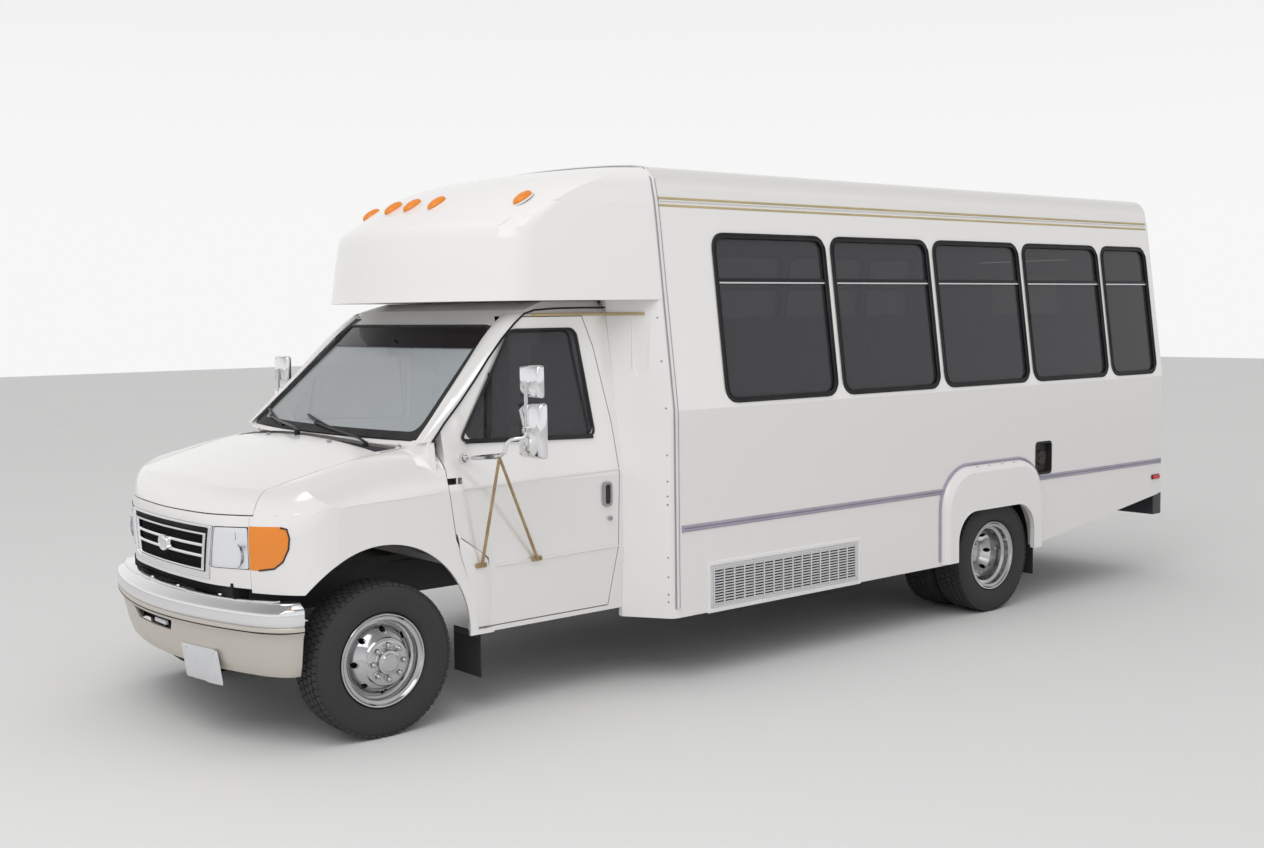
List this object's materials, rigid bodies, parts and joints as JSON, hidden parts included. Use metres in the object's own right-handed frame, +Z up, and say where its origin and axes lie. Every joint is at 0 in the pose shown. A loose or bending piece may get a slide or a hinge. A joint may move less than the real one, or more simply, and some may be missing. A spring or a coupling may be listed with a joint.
{
  "type": "shuttle minibus",
  "caption": "Cutaway shuttle minibus with a van cab, moulded over-cab cap, boxed passenger body and twin rear wheels.",
  "frame": {"origin": "on the ground under the middle of the overall length and width", "axes": "+X forward, +Y to the left side, +Z up"},
  "size_m": [7.41, 2.796, 2.84],
  "materials": {
    "body_white": "gloss",
    "cap_white": "gloss",
    "silver_paint": "satin",
    "chrome": "polished",
    "black_frame": "anodised black",
    "tinted_glass": "dark tint",
    "clear_glass": "clear",
    "lamp_clear": "clear",
    "lamp_amber": "clear amber",
    "lamp_red": "clear red",
    "dark_plastic": "matt",
    "trim_plastic": "grained",
    "rubber_flap": "matt",
    "tyre": "matt",
    "chassis_steel": "semi-gloss black",
    "cast_metal": "as cast",
    "floor_covering": "ribbed",
    "seat_fabric": "woven",
    "bright_alloy": "brushed"
  },
  "bodies": {
    "body": {"left_wall": "body_white", "right_wall": "body_white", "roof": "body_white", "rear_wall": "body_white", "body_floor": "floor_covering", "window_frames": "black_frame", "window_glass": "tinted_glass", "fenders": "body_white", "front_panel": "body_white", "headlamps": "lamp_clear", "corner_lamps": "lamp_amber", "grille": "chrome", "cab_shell": "body_white", "windshield": "clear_glass", "front_cap": "cap_white", "front_bumper": "chrome", "front_valance": "silver_paint", "rear_bumper": "chassis_steel", "frame_rails": "chassis_steel", "engine_block": "cast_metal", "fuel_tank": "chassis_steel", "driveshaft": "bright_alloy", "rear_axle": "chassis_steel", "front_axle": "chassis_steel", "exhaust": "bright_alloy", "seats": "seat_fabric", "dash_panel": "trim_plastic", "marker_lamps": "lamp_amber", "tail_lamps": "lamp_red", "rear_flares": "cap_white", "mud_flaps": "rubber_flap", "condenser_grille": "bright_alloy", "cowl_panel": "dark_plastic"},
    "left_knuckle": {"left_knuckle": "cast_metal"},
    "right_knuckle": {"right_knuckle": "cast_metal"},
    "front_left_wheel": {"front_left_tyre": "tyre", "front_left_rim": "chrome"},
    "front_right_wheel": {"front_right_tyre": "tyre", "front_right_rim": "chrome"},
    "rear_left_wheels": {"rear_left_tyres": "tyre", "rear_left_rims": "chrome"},
    "rear_right_wheels": {"rear_right_tyres": "tyre", "rear_right_rims": "chrome"},
    "left_cab_door": {"left_door": "body_white", "left_door_glass": "tinted_glass", "left_mirror": "chrome"},
    "right_cab_door": {"right_door": "body_white", "right_door_glass": "tinted_glass", "right_mirror": "chrome"},
    "hood": {"hood": "body_white"},
    "entrance_front": {"entrance_leaf_front": "black_frame", "entrance_glass_front": "tinted_glass"},
    "entrance_rear": {"entrance_leaf_rear": "black_frame", "entrance_glass_rear": "tinted_glass"},
    "rear_door": {"rear_door": "body_white", "rear_door_glass": "tinted_glass"},
    "steering_wheel": {"steering_wheel": "dark_plastic"}
  },
  "joints": [
    {"name": "left_steer", "type": "hinge", "parent": "body", "child": "left_knuckle", "pos_m": [2.955, 0.735, 0.372], "axis": [0, 0, 1], "range_deg": [-32, 32]},
    {"name": "right_steer", "type": "hinge", "parent": "body", "child": "right_knuckle", "pos_m": [2.955, -0.735, 0.372], "axis": [0, 0, 1], "range_deg": [-32, 32]},
    {"name": "steering_wheel_turn", "type": "hinge", "parent": "body", "child": "steering_wheel", "pos_m": [2.155, 0.48, 1.235], "axis": [-0.8829, 0, 0.4695], "range_deg": [-450, 450]},
    {"name": "front_left_roll", "type": "hinge", "parent": "left_knuckle", "child": "front_left_wheel", "pos_m": [2.955, 0.875, 0.372], "axis": [0, 1, 0], "continuous": true},
    {"name": "front_right_roll", "type": "hinge", "parent": "right_knuckle", "child": "front_right_wheel", "pos_m": [2.955, -0.875, 0.372], "axis": [0, 1, 0], "continuous": true},
    {"name": "rear_left_roll", "type": "hinge", "parent": "body", "child": "rear_left_wheels", "pos_m": [-1.515, 1.112, 0.372], "axis": [0, 1, 0], "continuous": true},
    {"name": "rear_right_roll", "type": "hinge", "parent": "body", "child": "rear_right_wheels", "pos_m": [-1.515, -1.112, 0.372], "axis": [0, 1, 0], "continuous": true},
    {"name": "left_cab_door_hinge", "type": "hinge", "parent": "body", "child": "left_cab_door", "pos_m": [2.525, 0.972, 0.9], "axis": [0, 0, -1], "range_deg": [0, 65]},
    {"name": "right_cab_door_hinge", "type": "hinge", "parent": "body", "child": "right_cab_door", "pos_m": [2.525, -0.972, 0.9], "axis": [0, 0, 1], "range_deg": [0, 65]},
    {"name": "hood_hinge", "type": "hinge", "parent": "body", "child": "hood", "pos_m": [2.725, 0, 1.352], "axis": [0, -1, 0], "range_deg": [0, 55]},
    {"name": "entrance_front_hinge", "type": "hinge", "parent": "body", "child": "entrance_front", "pos_m": [1.158, -1.218, 1.2], "axis": [0, 0, 1], "range_deg": [0, 90]},
    {"name": "entrance_rear_hinge", "type": "hinge", "parent": "body", "child": "entrance_rear", "pos_m": [0.33, -1.218, 1.2], "axis": [0, 0, -1], "range_deg": [0, 90]},
    {"name": "rear_door_hinge", "type": "hinge", "parent": "body", "child": "rear_door", "pos_m": [-3.592, -0.434, 1.6], "axis": [0, 0, 1], "range_deg": [0, 100]}
  ],
  "couplings": [
    {"joint": "right_steer", "follows": "left_steer", "ratio": 1},
    {"joint": "steering_wheel_turn", "follows": "left_steer", "ratio": 14},
    {"joint": "entrance_rear_hinge", "follows": "entrance_front_hinge", "ratio": 1}
  ]
}
